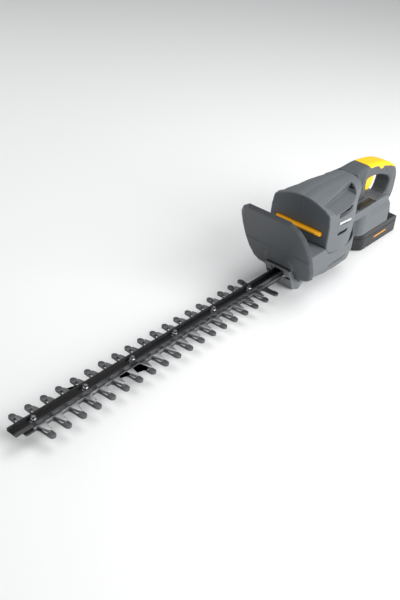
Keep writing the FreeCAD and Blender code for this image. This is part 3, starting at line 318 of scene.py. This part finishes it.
def gloss_coat(name, colour, roughness=0.16):
    """Black coat baked on folded steel: slight orange peel, hair scratches, grey rub along the edges."""
    material, tree, shader, place = start_finish(name)
    peel = put(tree, "ShaderNodeTexNoise", Vector=place, Scale=420.0, Detail=2.0)
    slow = put(tree, "ShaderNodeTexNoise", Vector=place, Scale=30.0, Detail=5.0, Roughness=0.6)
    edge = use(tree, RUBBED_EDGE, Vector=place, Reach=0.05)["Mask"]
    marks = use(tree, FINE_SCRATCHES, Vector=place, Amount=0.7)["Mask"]
    tone = shade_mix(tree, slow.outputs[0], scaled(colour, 0.8), scaled(colour, 1.3))
    worn = shade_mix(tree, maths(tree, "MULTIPLY", edge, 0.35), tone, (0.12, 0.12, 0.125, 1))
    shown = shade_mix(tree, maths(tree, "MULTIPLY", marks, 0.15), worn, (0.08, 0.08, 0.08, 1))
    rough = maths(tree, "MULTIPLY_ADD", slow.outputs[0], 0.14, roughness - 0.05)
    rough = maths(tree, "MULTIPLY_ADD", marks, 0.25, rough)
    bump = put(tree, "ShaderNodeBump", Strength=0.25, Distance=0.00003, Height=peel.outputs[0])
    tree.links.new(shown, shader["Base Color"])
    tree.links.new(rough, shader["Roughness"])
    tree.links.new(bump.outputs[0], shader["Normal"])
    shader["Coat Weight"].default_value = 0.2
    shader["Coat Roughness"].default_value = 0.12
    shader["Specular IOR Level"].default_value = 0.3
    return material


def cast_alloy(name, colour):
    """Die-cast alloy: soft mottling, fine pits and a satin skin."""
    material, tree, shader, place = start_finish(name)
    pits = use(tree, MOULD_TEXTURE, Vector=place, Scale=520.0)
    edge = use(tree, RUBBED_EDGE, Vector=place)["Mask"]
    mottled = shade_mix(tree, pits["Tone"], scaled(colour, 0.82), scaled(colour, 1.12))
    shown = shade_mix(tree, maths(tree, "MULTIPLY", edge, 0.5), mottled, scaled(colour, 1.5))
    rough = maths(tree, "MULTIPLY_ADD", pits["Height"], 0.18, 0.36)
    bump = put(tree, "ShaderNodeBump", Strength=0.5, Distance=0.00004, Height=pits["Height"])
    tree.links.new(shown, shader["Base Color"])
    tree.links.new(rough, shader["Roughness"])
    tree.links.new(bump.outputs[0], shader["Normal"])
    shader["Metallic"].default_value = 0.35
    return material


def plain_metal(name, colour, roughness=0.3, drawn=(60, 60, 700)):
    """Turned, drawn or plated metal inside the tool."""
    material, tree, shader, place = start_finish(name)
    lines = use(tree, GRINDING, Vector=place, Stretch=drawn)
    shown = shade_mix(tree, lines["Tone"], scaled(colour, 0.75), scaled(colour, 1.2))
    rough = maths(tree, "MULTIPLY_ADD", lines["Height"], 0.2, roughness - 0.1)
    bump = put(tree, "ShaderNodeBump", Strength=0.3, Distance=0.00002, Height=lines["Height"])
    tree.links.new(shown, shader["Base Color"])
    tree.links.new(rough, shader["Roughness"])
    tree.links.new(bump.outputs[0], shader["Normal"])
    shader["Metallic"].default_value = 1.0
    return material


def circuit_board(name, colour):
    """Solder mask with paler copper tracks showing through."""
    material, tree, shader, place = start_finish(name)
    tracks = put(tree, "ShaderNodeTexBrick", Vector=place, Scale=160.0, Mortar_Size=0.06)
    slow = put(tree, "ShaderNodeTexNoise", Vector=place, Scale=60.0, Detail=3.0)
    base = shade_mix(tree, slow.outputs[0], scaled(colour, 0.8), scaled(colour, 1.2))
    shown = shade_mix(tree, tracks.outputs["Fac"], base, scaled(colour, 2.2))
    bump = put(tree, "ShaderNodeBump", Strength=0.4, Distance=0.00005, Height=tracks.outputs["Fac"])
    tree.links.new(shown, shader["Base Color"])
    tree.links.new(bump.outputs[0], shader["Normal"])
    tree.links.new(maths(tree, "MULTIPLY_ADD", slow.outputs[0], 0.2, 0.25), shader["Roughness"])
    return material


def label_film(name, colour, stripe=None, along=None, across="Z", rows=()):
    """Printed film. Rows of coloured stripe are (centre, half height) across the label, in metres."""
    material, tree, shader, place = start_finish(name)
    slow = put(tree, "ShaderNodeTexNoise", Vector=place, Scale=90.0, Detail=4.0)
    shown = shade_mix(tree, slow.outputs[0], scaled(colour, 0.85), scaled(colour, 1.15))
    if rows:
        parts = put(tree, "ShaderNodeSeparateXYZ", Vector=place)
        along_away = maths(tree, "ABSOLUTE", maths(tree, "SUBTRACT", parts.outputs["X"], along[0]))
        inside = maths(tree, "LESS_THAN", along_away, along[1])
        mask = 0.0
        for centre, half in rows:
            away = maths(tree, "ABSOLUTE", maths(tree, "SUBTRACT", parts.outputs[across], centre))
            row = maths(tree, "MULTIPLY", maths(tree, "LESS_THAN", away, half), inside)
            mask = maths(tree, "MAXIMUM", mask, row)
        shown = shade_mix(tree, mask, shown, stripe)
    bump = put(tree, "ShaderNodeBump", Strength=0.2, Distance=0.00002, Height=slow.outputs[0])
    tree.links.new(shown, shader["Base Color"])
    tree.links.new(bump.outputs[0], shader["Normal"])
    tree.links.new(maths(tree, "MULTIPLY_ADD", slow.outputs[0], 0.2, 0.42), shader["Roughness"])
    return material


GREY = (0.118, 0.130, 0.140)
DARK_GREY = (0.078, 0.086, 0.093)
YELLOW = (1.0, 0.60, 0.0)
ORANGE_YELLOW = (0.95, 0.42, 0.006)
BLACK = (0.018, 0.019, 0.021)
STEEL = (0.42, 0.42, 0.43)
PACK_LO, PACK_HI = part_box("battery_case")
PLATE_LO, PLATE_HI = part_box("rating_plate")

FINISHES = {
    "blade_steel": ground_steel("ground_blade_steel", (0.34, 0.35, 0.36)),
    "bar_black": gloss_coat("gloss_black_bar", (0.012, 0.012, 0.013)),
    "fastener_steel": plain_metal("plated_fastener", (0.62, 0.62, 0.63), 0.26),
    "gear_steel": plain_metal("machined_gear_steel", STEEL, 0.32),
    "bearing_steel": plain_metal("polished_bearing_race", (0.6, 0.6, 0.61), 0.18),
    "case_alloy": cast_alloy("satin_cast_alloy", (0.23, 0.245, 0.26)),
    "can_steel": plain_metal("motor_can_steel", (0.4, 0.4, 0.41), 0.35),
    "magnet_ferrite": moulded_plastic("sintered_ferrite", (0.05, 0.05, 0.055), 0.6, worn=0.1),
    "copper": plain_metal("drawn_copper", (0.78, 0.36, 0.2), 0.28),
    "carbon": moulded_plastic("pressed_carbon", (0.03, 0.03, 0.03), 0.5, worn=0.1),
    "guard_grey": moulded_plastic("guard_moulding", DARK_GREY, 0.5),
    "body_grey": moulded_plastic("body_moulding", GREY, 0.46, seam=True),
    "grip_grey": moulded_plastic("grip_moulding", DARK_GREY, 0.5, seam=True),
    "dock_grey": moulded_plastic("dock_moulding", GREY, 0.46),
    "signal_yellow": moulded_plastic("signal_yellow_moulding", YELLOW, 0.42, worn=0.0),
    "pack_black": moulded_plastic("pack_black_moulding", BLACK, 0.42, worn=0.5),
    "label": label_film("rating_film", (0.02, 0.02, 0.021), (0.4, 0.4, 0.4, 1),
                        ((PLATE_LO.x + PLATE_HI.x) / 2, 0.024), "Y",
                        [(PLATE_LO.y + 2.5 * MM, 0.15 * MM), (PLATE_HI.y - 2.5 * MM, 0.15 * MM)]),
    "inner_plastic": moulded_plastic("inner_moulding", (0.035, 0.035, 0.038), 0.45),
    "board_green": circuit_board("solder_mask", (0.015, 0.12, 0.05)),
    "spring_steel": plain_metal("spring_wire", (0.5, 0.5, 0.51), 0.25),
    "cell_wrap": moulded_plastic("cell_sleeve", (0.05, 0.16, 0.42), 0.3, worn=0.0),
    "lead_red": moulded_plastic("lead_insulation", (0.35, 0.02, 0.02), 0.4, worn=0.0),
}
COMB_FINISH = ground_steel("blued_comb_steel", (0.13, 0.135, 0.14), 0.46, oil=0.4)
BADGE_FINISH = label_film("badge_film", (0.62, 0.62, 0.6))
SWITCH_BAR_FINISH = moulded_plastic("switch_bar_moulding", ORANGE_YELLOW, 0.36, worn=0.0)
PACK_LABEL_FINISH = label_film("pack_film", (0.035, 0.036, 0.038), (0.75, 0.30, 0.01, 1),
                               ((PACK_LO.x + PACK_HI.x) / 2 - 4 * MM, 0.022), "Z",
                               [(PACK_LO.z + 15.5 * MM, 1.6 * MM)])


def dress_cad_nodes():
    for node, part in NODES.items():
        finish = FINISHES[SLOT_OF[node]]
        if not part.material_slots:
            part.data.materials.append(finish)
        for place in part.material_slots:
            place.material = finish


# ---------------------------------------------------------------- mesh helpers
MOULDING_CREASE = 50     # degrees; softer bends are shaded smooth on mouldings


def linked(name, mesh):
    piece = bpy.data.objects.new(name, mesh)
    bpy.context.scene.collection.objects.link(piece)
    return piece


def settled(piece):
    """Applies a piece's modifiers to its mesh."""
    view = bpy.context.evaluated_depsgraph_get()
    mesh = bpy.data.meshes.new_from_object(piece.evaluated_get(view))
    piece.modifiers.clear()
    piece.data = mesh
    return piece


def welded(node):
    """Copy of a CAD node's mesh with its loose triangles joined."""
    mesh = NODES[node].data.copy()
    shape = bmesh.new()
    shape.from_mesh(mesh)
    bmesh.ops.remove_doubles(shape, verts=shape.verts, dist=1e-6)
    shape.to_mesh(mesh)
    shape.free()
    return mesh


def prism(name, ring, push):
    """Closed mesh: a flat outline pushed along a vector."""
    shape = bmesh.new()
    face = shape.faces.new([shape.verts.new(point) for point in ring])
    pushed = bmesh.ops.extrude_face_region(shape, geom=[face])["geom"]
    bmesh.ops.translate(shape, vec=push, verts=[v for v in pushed if isinstance(v, bmesh.types.BMVert)])
    bmesh.ops.recalc_face_normals(shape, faces=shape.faces)
    mesh = bpy.data.meshes.new(name)
    shape.to_mesh(mesh)
    shape.free()
    return mesh


def smooth_by_angle(mesh, degrees):
    mesh.shade_smooth()
    mesh.set_sharp_from_angle(angle=math.radians(degrees))


def stand_in(piece, node, finish=None):
    """Makes a finished piece take a CAD node's place."""
    piece.data.materials.clear()
    piece.data.materials.append(finish or FINISHES[SLOT_OF[node]])
    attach(piece, BODY_OF[node])
    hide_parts(node)
    return piece


def relaxed_moulding(node, grid, passes, finish=None, joint_plane=False):
    """Thick moulding with soft edges: an even fine mesh of the CAD node, relaxed a number of times.

    With joint_plane, the edge where the left and right shells meet is kept sharp, so that they stay closed.
    """
    piece = linked(node + "_moulding", welded(node))
    even = piece.modifiers.new("even_mesh", "REMESH")
    even.mode = "VOXEL"
    even.voxel_size = grid * MM
    settled(piece)
    relax = piece.modifiers.new("relax", "SMOOTH")
    relax.factor = 0.5
    relax.iterations = passes
    if joint_plane:
        free = piece.vertex_groups.new(name="free")
        for vertex in piece.data.vertices:
            away = (abs(vertex.co.y) - grid * MM * 0.6) / (3 * MM)
            free.add([vertex.index], min(max(away, 0.0), 1.0), "REPLACE")
        relax.vertex_group = "free"
    settled(piece)
    piece.vertex_groups.clear()
    smooth_by_angle(piece.data, MOULDING_CREASE)
    return stand_in(piece, node, finish)


def bevelled_part(node, width, finish=None, segments=2):
    """Crisp part with a small radius on every edge."""
    mesh = welded(node)
    shape = bmesh.new()
    shape.from_mesh(mesh)
    bmesh.ops.dissolve_limit(shape, angle_limit=math.radians(1), verts=shape.verts, edges=shape.edges)
    shape.to_mesh(mesh)
    shape.free()
    piece = linked(node + "_finished", mesh)
    bevel = piece.modifiers.new("edge_radius", "BEVEL")
    bevel.width = width * MM
    bevel.segments = segments
    bevel.limit_method = "ANGLE"
    bevel.angle_limit = math.radians(35)
    bevel.harden_normals = False
    settled(piece)
    smooth_by_angle(piece.data, 34)
    return stand_in(piece, node, finish)


def parted(piece, cutter, operation):
    """Cuts a piece with another, which is then removed."""
    carve = piece.modifiers.new("part", "BOOLEAN")
    carve.operation = operation
    carve.object = cutter
    carve.solver = "EXACT"
    settled(piece)
    bpy.data.objects.remove(cutter)
    return piece


def islands(node):
    """Lowest and highest corner of each separate solid in a CAD node, in order along X."""
    mesh = welded(node)
    shape = bmesh.new()
    shape.from_mesh(mesh)
    bpy.data.meshes.remove(mesh)
    unseen = set(shape.verts)
    found = []
    while unseen:
        open_verts = [unseen.pop()]
        solid = []
        while open_verts:
            vertex = open_verts.pop()
            solid.append(vertex.co.copy())
            for edge in vertex.link_edges:
                other = edge.other_vert(vertex)
                if other in unseen:
                    unseen.remove(other)
                    open_verts.append(other)
        low = Vector(map(min, *solid))
        high = Vector(map(max, *solid))
        found.append((low, high))
    shape.free()
    return sorted(found, key=lambda pair: (pair[0].x, pair[0].y))


# ---------------------------------------------------------------- repeated pieces
def placed_copies_tree():
    """Geometry Nodes tree: a copy of one object at every point, turned by the point's own angles."""
    tree, given, out = new_group("placed_copies",
                                 [("Places", "NodeSocketGeometry", None), ("Item", "NodeSocketObject", None),
                                  ("Size", "NodeSocketFloat", 1.0), ("Finish", "NodeSocketMaterial", None)],
                                 [("Copies", "NodeSocketGeometry")], "GeometryNodeTree")
    item = put(tree, "GeometryNodeObjectInfo", Object=given["Item"])
    angles = put(tree, "GeometryNodeInputNamedAttribute", {"data_type": "FLOAT_VECTOR"}, Name="turn")
    turned = put(tree, "FunctionNodeEulerToRotation", n0=angles.outputs[0])
    copies = put(tree, "GeometryNodeInstanceOnPoints", Points=given["Places"],
                 Instance=item.outputs["Geometry"], Rotation=turned.outputs[0], Scale=given["Size"])
    real = put(tree, "GeometryNodeRealizeInstances", Geometry=copies.outputs[0])
    painted = put(tree, "GeometryNodeSetMaterial", Geometry=real.outputs[0], Material=given["Finish"])
    tree.links.new(painted.outputs[0], out["Copies"])
    return tree


PLACED_COPIES = placed_copies_tree()


def grown(name, tree, points=(), turns=(), **values):
    """Runs a Geometry Nodes tree on a set of points and returns the result as a plain piece."""
    mesh = bpy.data.meshes.new(name)
    mesh.from_pydata([tuple(point) for point in points] or [(0, 0, 0)], [], [])
    angles = mesh.attributes.new("turn", "FLOAT_VECTOR", "POINT")
    for i, turn in enumerate(turns):
        angles.data[i].vector = turn
    piece = linked(name, mesh)
    grower = piece.modifiers.new("grow", "NODES")
    grower.node_group = tree
    for socket in tree.interface.items_tree:
        title = socket.name.lower()
        if socket.in_out == "INPUT" and title in values:
            grower[socket.identifier] = values[title]
    settled(piece)
    smooth_by_angle(piece.data, 40)
    return piece


def lathe(name, outline, steps=32):
    """Turned solid round +Z through (radius, height) points that start and end on the axis."""
    shape = bmesh.new()
    rings = []
    for radius, height in outline:
        if radius == 0:
            rings.append([shape.verts.new((0, 0, height))])
            continue
        ring = []
        for i in range(steps):
            angle = 2 * math.pi * i / steps
            ring.append(shape.verts.new((radius * math.cos(angle), radius * math.sin(angle), height)))
        rings.append(ring)
    for low, high in zip(rings, rings[1:]):
        for i in range(steps):
            j = (i + 1) % steps
            corners = [low[i % len(low)], low[j % len(low)], high[j % len(high)], high[i % len(high)]]
            shape.faces.new(list(dict.fromkeys(corners)))
    bmesh.ops.recalc_face_normals(shape, faces=shape.faces)
    mesh = bpy.data.meshes.new(name)
    shape.to_mesh(mesh)
    shape.free()
    return mesh


def star_screw(radius, height):
    """Pan head with a six-lobed socket; its seat is at z = 0."""
    outline = [(0, 0), (radius * 0.98, 0), (radius, height * 0.25), (radius * 0.93, height * 0.7),
               (radius * 0.7, height * 0.95), (0, height)]
    head = linked("screw_head", lathe("screw_head", outline))
    ring = []
    for i in range(36):
        angle = 2 * math.pi * i / 36
        reach = radius * (0.46 + 0.07 * math.cos(6 * angle))
        ring.append((reach * math.cos(angle), reach * math.sin(angle), height * 0.3))
    socket = linked("socket", prism("socket", ring, (0, 0, height)))
    return parted(head, socket, "DIFFERENCE")


# flange, hexagon and crown of a lock nut: lower and upper end as shares of its height, then the
# widths there as shares of the hexagon's
NUT_STEPS = ((0.0, 0.14, 1.28, 1.24), (0.14, 0.86, 1.0, 1.0), (0.86, 1.0, 1.0, 0.86))


def hex_nut_on_stud(across, height, stud):
    """Lock nut with a chamfered crown on a flange, the stud's rounded end standing through it."""
    shape = bmesh.new()
    reach = across / math.cos(math.pi / 6) / 2
    for low, high, wide_low, wide_high in NUT_STEPS:
        steps = 24 if wide_low > 1 else 6
        loops = []
        for level, wide in ((low, wide_low), (high, wide_high)):
            loop = []
            for i in range(steps):
                angle = 2 * math.pi * (i + 0.5) / steps
                loop.append(shape.verts.new((reach * wide * math.cos(angle), reach * wide * math.sin(angle),
                                             level * height)))
            loops.append(loop)
        for i in range(steps):
            j = (i + 1) % steps
            shape.faces.new([loops[0][i], loops[0][j], loops[1][j], loops[1][i]])
        shape.faces.new(loops[0][::-1])
        shape.faces.new(loops[1])
    nut = linked("nut", bpy.data.meshes.new("nut"))
    bmesh.ops.recalc_face_normals(shape, faces=shape.faces)
    shape.to_mesh(nut.data)
    shape.free()
    outline = [(0, height * 0.9), (stud, height * 0.9), (stud, height * 1.24), (stud * 0.7, height * 1.4),
               (0, height * 1.42)]
    end = lathe("stud_end", outline, 20)
    both = bmesh.new()
    both.from_mesh(nut.data)
    both.from_mesh(end)
    both.to_mesh(nut.data)
    both.free()
    round_edges = nut.modifiers.new("edge_radius", "BEVEL")
    round_edges.width = 0.15 * MM
    round_edges.segments = 2
    round_edges.angle_limit = math.radians(35)
    return settled(nut)


def row_of_items(name, item, places, turns, node, stands_for=None):
    """Copies of one item at places on a body, in a CAD node's finish."""
    piece = grown(name, PLACED_COPIES, places, turns, item=item, finish=FINISHES[SLOT_OF[node]])
    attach(piece, BODY_OF[node])
    if stands_for:
        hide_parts(stands_for)
    bpy.data.objects.remove(item)
    return piece


# ---------------------------------------------------------------- the trimmer's own pieces
# lower edge of the handle's cap: distance behind the cap's front end, height above the floor, in mm
CAP_EDGE = [(14, 157), (30, 155.4), (45, 152.3), (52, 146), (56, 143.8), (62, 143.4), (66, 147), (96, 138.4),
            (116, 129.4), (132, 127)]
CAP_GAP = 0.35 * MM
CAP_FRONT_Z = 168.5
ABOVE_ALL = 190 * MM     # cutters reach this high and this far to each side
BESIDE_ALL = 60 * MM
HANDLE_PASSES = 150


def cap_cutter(front_x, drop):
    """Prism over the cap's part of the handle."""
    edge = [(front_x - back * MM, z * MM - drop) for back, z in [(0, CAP_FRONT_Z), *CAP_EDGE]]
    rear_x = edge[-1][0] - 20 * MM
    edge += [(rear_x, edge[-1][1]), (rear_x, ABOVE_ALL), (front_x, ABOVE_ALL)]
    ring = [(x, -BESIDE_ALL, z) for x, z in edge]
    return linked("cap_cutter", prism("cap_cutter", ring, (0, 2 * BESIDE_ALL, 0)))


def make_soft_handle():
    """The handle's shells and cap are softened as one form, then parted along the cap's lower edge."""
    whole = bmesh.new()
    for node in ("handle_left", "handle_right", "handle_cap"):
        whole.from_mesh(welded(node))
    mesh = bpy.data.meshes.new("handle_form")
    whole.to_mesh(mesh)
    whole.free()
    shells = linked("handle_moulding", mesh)
    even = shells.modifiers.new("even_mesh", "REMESH")
    even.mode = "VOXEL"
    even.voxel_size = 1.0 * MM
    settled(shells)
    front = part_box("handle_left")[1].x
    free = shells.vertex_groups.new(name="free")
    for vertex in shells.data.vertices:
        free.add([vertex.index], min(max((front - vertex.co.x - 1.0 * MM) / (14 * MM), 0.0), 1.0), "REPLACE")
    relax = shells.modifiers.new("relax", "SMOOTH")
    relax.factor = 0.5
    relax.iterations = HANDLE_PASSES
    relax.vertex_group = "free"
    settled(shells)
    shells.vertex_groups.clear()
    cap = linked("handle_cap_moulding", shells.data.copy())
    cap_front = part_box("handle_cap")[1].x
    parted(shells, cap_cutter(cap_front, CAP_GAP), "DIFFERENCE")
    parted(cap, cap_cutter(cap_front, 0.0), "INTERSECT")
    smooth_by_angle(shells.data, MOULDING_CREASE)
    smooth_by_angle(cap.data, MOULDING_CREASE)
    stand_in(shells, "handle_left")
    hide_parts("handle_right")
    stand_in(cap, "handle_cap")


def make_shells():
    relaxed_moulding("hand_guard", 1.1, 3)
    relaxed_moulding("lower_housing", 1.1, 3)
    for side in ("left", "right"):
        relaxed_moulding("cowl_" + side, 1.15, 14, joint_plane=True)
    make_soft_handle()
    relaxed_moulding("trigger", 0.7, 10)
    relaxed_moulding("front_switch_bar", 0.6, 5, SWITCH_BAR_FINISH)
    relaxed_moulding("battery_dock", 1.0, 4)
    relaxed_moulding("battery_case", 1.0, 4)
    relaxed_moulding("battery_lid", 1.0, 4)
    relaxed_moulding("gearcase", 0.8, 3)


def make_blade_set():
    bevelled_part("tooth_comb", 0.35, COMB_FINISH)
    for node in ("lower_blade", "upper_blade"):
        bevelled_part(node, 0.35)
    bevelled_part("guide_bar", 0.35, segments=3)


def make_fasteners():
    nuts = islands("blade_nuts")
    low, high = nuts[0]
    across = (high.y - low.y) * 0.86
    seats = [Vector(((a.x + b.x) / 2, (a.y + b.y) / 2, a.z)) for a, b in nuts]
    nut = hex_nut_on_stud(across, (high.z - low.z) * 0.7, across * 0.28)
    row_of_items("bar_nuts", nut, seats, [(0, 0, 0.4 * i) for i in range(len(seats))], "blade_nuts",
                 stands_for="blade_nuts")
    screw = star_screw(3.0 * MM, 2.2 * MM)
    seats = [Vector(((a.x + b.x) / 2, a.y + 2.2 * MM, (a.z + b.z) / 2)) for a, b in islands("handle_screws")]
    row_of_items("handle_screw_heads", screw, seats, [(math.pi / 2, 0, 0.3 * i) for i in range(len(seats))],
                 "handle_screws")


def rounded_ring(half_a, half_b, corner):
    """Outline of a rectangle with round corners, as (a, b) pairs in metres."""
    ring = []
    for turn, (sign_a, sign_b) in enumerate(((1, 1), (-1, 1), (-1, -1), (1, -1))):
        for i in range(5):
            angle = math.pi / 2 * (turn + i / 4)
            ring.append((sign_a * (half_a - corner) + corner * math.cos(angle),
                         sign_b * (half_b - corner) + corner * math.sin(angle)))
    return ring


def thin_panel(name, ring, push, node, finish):
    """Thin closed piece that rides with a CAD node's body."""
    piece = linked(name, prism(name, ring, push))
    piece.data.materials.append(finish)
    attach(piece, BODY_OF[node])


# outlines in mm: behind the cowl's face and above the floor; behind the face and in from the widest
# point; in from the lower housing's side and above the floor
BADGE = [(29, 119.4), (66, 116.8), (66, 120.4), (29, 123.6)]
# the second and third outlines are dark sheets behind the cowl's and the lower housing's vent slots: painted
# shade
COWL_VENT_SHADE = [(25, 4.9), (64, 4.9), (83, 10.9), (83, 11.6), (64, 5.6), (25, 5.6)]
TUB_VENT_SHADE = [(14.8, 26), (14.8, 32.5), (8.8, 46), (9.5, 46.3), (15.5, 32.8), (15.5, 26)]


def make_panels():
    """On both sides: the pack's film, the cowl's blank badge, and dark sheets behind the vents that paint
    shade into the slots.
    """
    pack_low, pack_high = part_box("battery_case")
    cowl_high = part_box("cowl_left")[1]
    tub_low, tub_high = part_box("lower_housing")
    film_x = (pack_low.x + pack_high.x) / 2 - 6 * MM
    film_z = pack_low.z + 13.5 * MM
    # dark inner finish on the sheets behind the vents, which paints shade into the slots
    vent_shade_finish = FINISHES["inner_plastic"]
    for side, name in ((1, "left"), (-1, "right")):
        film = [(film_x + a, side * (pack_high.y - 0.05 * MM), film_z + b)
                for a, b in rounded_ring(41 * MM, 6.2 * MM, 2.5 * MM)]
        thin_panel("pack_film_" + name, film, (0, side * 0.15 * MM, 0), "battery_case", PACK_LABEL_FINISH)
        ring = [(cowl_high.x - back * MM, side * (cowl_high.y - 2.7 * MM), z * MM) for back, z in BADGE]
        thin_panel("badge_" + name, ring, (0, side * 1.0 * MM, 0), "cowl_left", BADGE_FINISH)
        ring = [(cowl_high.x - back * MM, side * (cowl_high.y - deep * MM), 97 * MM)
                for back, deep in COWL_VENT_SHADE]
        thin_panel("cowl_screen_" + name, ring, (0, 0, 39 * MM), "cowl_left", vent_shade_finish)
        ring = [(tub_low.x + 75 * MM, side * (tub_high.y - deep * MM), z * MM) for deep, z in TUB_VENT_SHADE]
        thin_panel("tub_screen_" + name, ring, (-54 * MM, 0, 0), "lower_housing", vent_shade_finish)


make_camera()
make_lights()
make_floor()
dress_cad_nodes()
make_shells()
make_blade_set()
make_fasteners()
make_panels()
